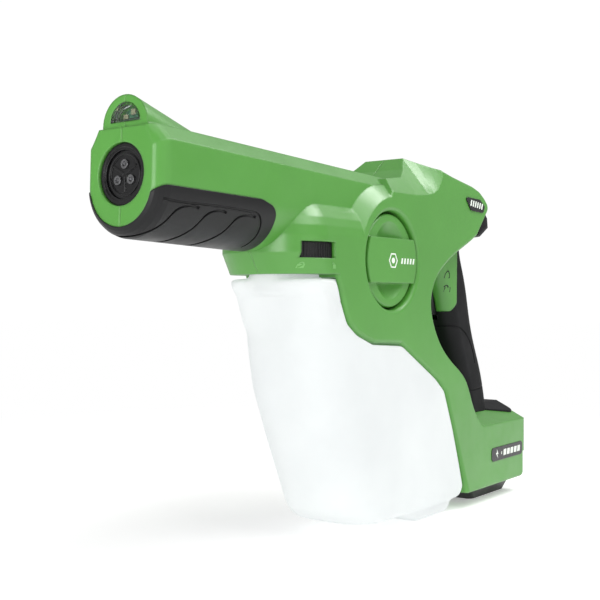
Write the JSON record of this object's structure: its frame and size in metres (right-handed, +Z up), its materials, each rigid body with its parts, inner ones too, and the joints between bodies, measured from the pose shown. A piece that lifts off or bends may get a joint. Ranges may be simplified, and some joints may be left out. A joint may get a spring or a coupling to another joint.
{
  "type": "cordless electrostatic disinfectant sprayer",
  "caption": "Cordless handheld electrostatic sprayer: pistol body, drop-out liquid tank, turning spray head, drop-out battery, side-stored wrench.",
  "frame": {"origin": "a point on the flat foot under the tank, in the plane the sprayer stands on and the plane of its left and right halves", "axes": "+X is the spray direction, +Y is the user's left side, +Z is up"},
  "size_m": [0.3992, 0.074, 0.2477],
  "materials": {
    "green_shell": "satin moulded ABS",
    "black_overmould": "soft matt overmould",
    "black_plastic": "fine grain moulding",
    "natural_tank": "translucent natural polyethylene",
    "clear_lens": "clear moulded lens",
    "circuit_board": "solder mask",
    "led_phosphor": "silicone over phosphor",
    "white_wire": "PVC insulation",
    "brass": "turned",
    "steel": "plated",
    "dark_steel": "blackened",
    "seal_rubber": "nitrile",
    "clear_hose": "flexible clear hose",
    "potting": "epoxy potting",
    "pump_plastic": "moulded nylon",
    "cell_wrap": "shrink wrap",
    "badge_black": "printed film",
    "mark_white": "printed mark"
  },
  "bodies": {
    "housing": {"left_housing": "green_shell", "right_housing": "green_shell", "housing_screws": "steel", "barrel_grip": "black_overmould", "handle_grip": "black_overmould", "rear_cover": "black_overmould", "led_lens": "clear_lens", "led_board": "circuit_board", "led_chips": "led_phosphor", "led_wires": "white_wire", "nozzle_bezel": "black_plastic", "electrode_ring": "brass", "nozzle_carrier": "black_plastic", "turret_seal": "seal_rubber", "pump_motor": "steel", "pump_head": "pump_plastic", "pump_cover": "pump_plastic", "spray_hose": "clear_hose", "dock_valve": "black_plastic", "dock_seal": "seal_rubber", "suction_hose": "clear_hose", "high_voltage_module": "potting", "high_voltage_lead": "white_wire", "control_board": "circuit_board", "trigger_switch": "black_plastic", "wiring": "white_wire", "battery_terminals": "black_plastic", "trigger_pin": "steel", "side_badge": "badge_black", "battery_label": "badge_black"},
    "turret": {"nozzle_turret": "black_plastic", "turret_clip": "steel", "spray_tips": "dark_steel"},
    "trigger": {"trigger": "black_plastic"},
    "trigger_lock": {"trigger_lock": "black_plastic"},
    "power_button": {"power_button": "black_plastic"},
    "charge_button": {"charge_button": "black_plastic"},
    "tank": {"tank": "natural_tank", "neck_insert": "pump_plastic", "pickup_tube": "clear_hose", "inlet_filter": "pump_plastic", "valve_spring": "steel"},
    "tank_nut": {"tank_nut": "black_plastic"},
    "tank_valve": {"valve_plunger": "pump_plastic"},
    "lock_ring": {"lock_ring": "black_plastic"},
    "wrench": {"nozzle_wrench": "green_shell", "wrench_mark": "mark_white"},
    "battery": {"battery_base": "black_plastic", "battery_case": "black_plastic", "battery_cells": "cell_wrap", "cell_straps": "steel", "battery_board": "circuit_board"},
    "battery_latch": {"battery_latch": "black_plastic"},
    "pump_rotor": {"pump_eccentric": "steel"}
  },
  "joints": [
    {"name": "turret_turn", "type": "hinge", "parent": "housing", "child": "turret", "pos_m": [0.242, 0, 0.20825], "axis": [0.9995, 0, 0.0319], "range_deg": [0, 240]},
    {"name": "trigger_pull", "type": "hinge", "parent": "housing", "child": "trigger", "pos_m": [-0.063, 0, 0.159], "axis": [0, 1, 0], "range_deg": [0, 7]},
    {"name": "trigger_lock_slide", "type": "slide", "parent": "housing", "child": "trigger_lock", "axis": [0, 1, 0], "range_m": [-0.002, 0.002]},
    {"name": "power_press", "type": "slide", "parent": "housing", "child": "power_button", "axis": [1, 0, 0], "range_m": [0, 0.0005]},
    {"name": "charge_press", "type": "slide", "parent": "housing", "child": "charge_button", "axis": [1, 0, 0], "range_m": [0, 0.0005]},
    {"name": "tank_drop", "type": "slide", "parent": "housing", "child": "tank", "axis": [0, 0, -1], "range_m": [0, 0.045]},
    {"name": "tank_nut_turn", "type": "hinge", "parent": "tank", "child": "tank_nut", "pos_m": [0.117, 0, 0.172], "axis": [0, 0, 1], "range_deg": [0, 180]},
    {"name": "tank_valve_push", "type": "slide", "parent": "tank", "child": "tank_valve", "axis": [0, 0, -1], "range_m": [0, 0.0015], "deforming": ["valve_spring"]},
    {"name": "lock_ring_turn", "type": "hinge", "parent": "housing", "child": "lock_ring", "pos_m": [0.117, 0, 0.1756], "axis": [0, 0, 1], "range_deg": [0, 13]},
    {"name": "wrench_lift", "type": "slide", "parent": "housing", "child": "wrench", "axis": [0, 1, 0], "range_m": [0, 0.03]},
    {"name": "battery_drop", "type": "slide", "parent": "housing", "child": "battery", "axis": [0, 0, -1], "range_m": [0, 0.06]},
    {"name": "battery_latch_press", "type": "slide", "parent": "battery", "child": "battery_latch", "axis": [1, 0, 0], "range_m": [0, 0.0015]},
    {"name": "pump_spin", "type": "hinge", "parent": "housing", "child": "pump_rotor", "pos_m": [0.06, 0, 0.2], "axis": [1, 0, 0], "continuous": true}
  ]
}
